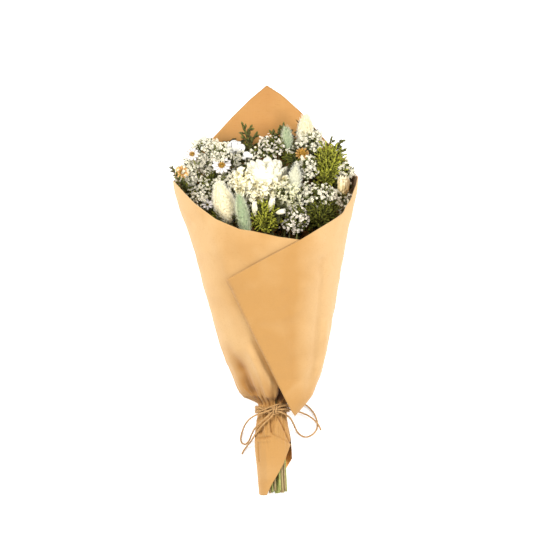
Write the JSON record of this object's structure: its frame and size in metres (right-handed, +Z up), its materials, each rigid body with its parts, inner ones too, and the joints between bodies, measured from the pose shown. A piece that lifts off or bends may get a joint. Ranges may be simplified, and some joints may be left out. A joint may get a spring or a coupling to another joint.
{
  "type": "mixed flower bouquet",
  "caption": "Hand-tied bunch of dried and fresh mixed flowers and greens in a kraft paper wrap with a twine bow, lying on its back.",
  "frame": {"origin": "middle of the base of the wrapped bunch, on the surface that it lies on", "axes": "+Y from the cut stems to the flowers, +Z up, which is the bouquet's front, +X to the right seen from the front with the flowers at the top"},
  "size_m": [0.2054, 0.4512, 0.1072],
  "materials": {
    "kraft_paper": "matte",
    "jute_twine": "matte",
    "raffia": "matte",
    "cream_petals": "matte",
    "cream_grass": "matte",
    "mint_grass": "matte",
    "white_petals": "matte",
    "tan_petals": "matte",
    "white_filler": "matte",
    "green_foliage": "matte",
    "seed_husk": "matte"
  },
  "bodies": {
    "root": {"wrap": "kraft_paper", "twine_wraps": "jute_twine", "twine_knot": "jute_twine", "twine_loop_left": "jute_twine", "twine_end_left": "jute_twine", "twine_loop_right": "jute_twine", "twine_end_right": "jute_twine", "stem_band": "raffia", "bloom_centre": "cream_petals", "bunny_tail_cream_1": "cream_grass", "bunny_tail_cream_2": "cream_grass", "bunny_tail_cream_3": "cream_grass", "bunny_tail_mint_1": "mint_grass", "bunny_tail_mint_2": "mint_grass", "seed_head": "seed_husk", "daisy_1": "white_petals", "daisy_2": "white_petals", "daisy_3": "tan_petals", "daisy_4": "tan_petals", "daisy_5": "white_petals", "puff_1": "white_petals", "puff_2": "white_petals", "bud_1": "seed_husk", "bud_2": "seed_husk", "bud_3": "seed_husk", "spray_1": "white_filler", "spray_2": "white_filler", "spray_3": "white_filler", "spray_4": "white_filler", "spray_5": "white_filler", "spray_6": "white_filler", "spray_7": "white_filler", "spray_8": "white_filler", "spray_9": "white_filler", "spray_10": "white_filler", "spray_11": "white_filler", "cypress_1": "green_foliage", "cypress_2": "green_foliage", "cypress_3": "green_foliage", "cypress_4": "green_foliage", "cypress_5": "green_foliage", "cypress_6": "green_foliage", "cypress_7": "green_foliage", "cypress_8": "green_foliage", "leaf_left": "green_foliage"}
  },
  "joints": []
}
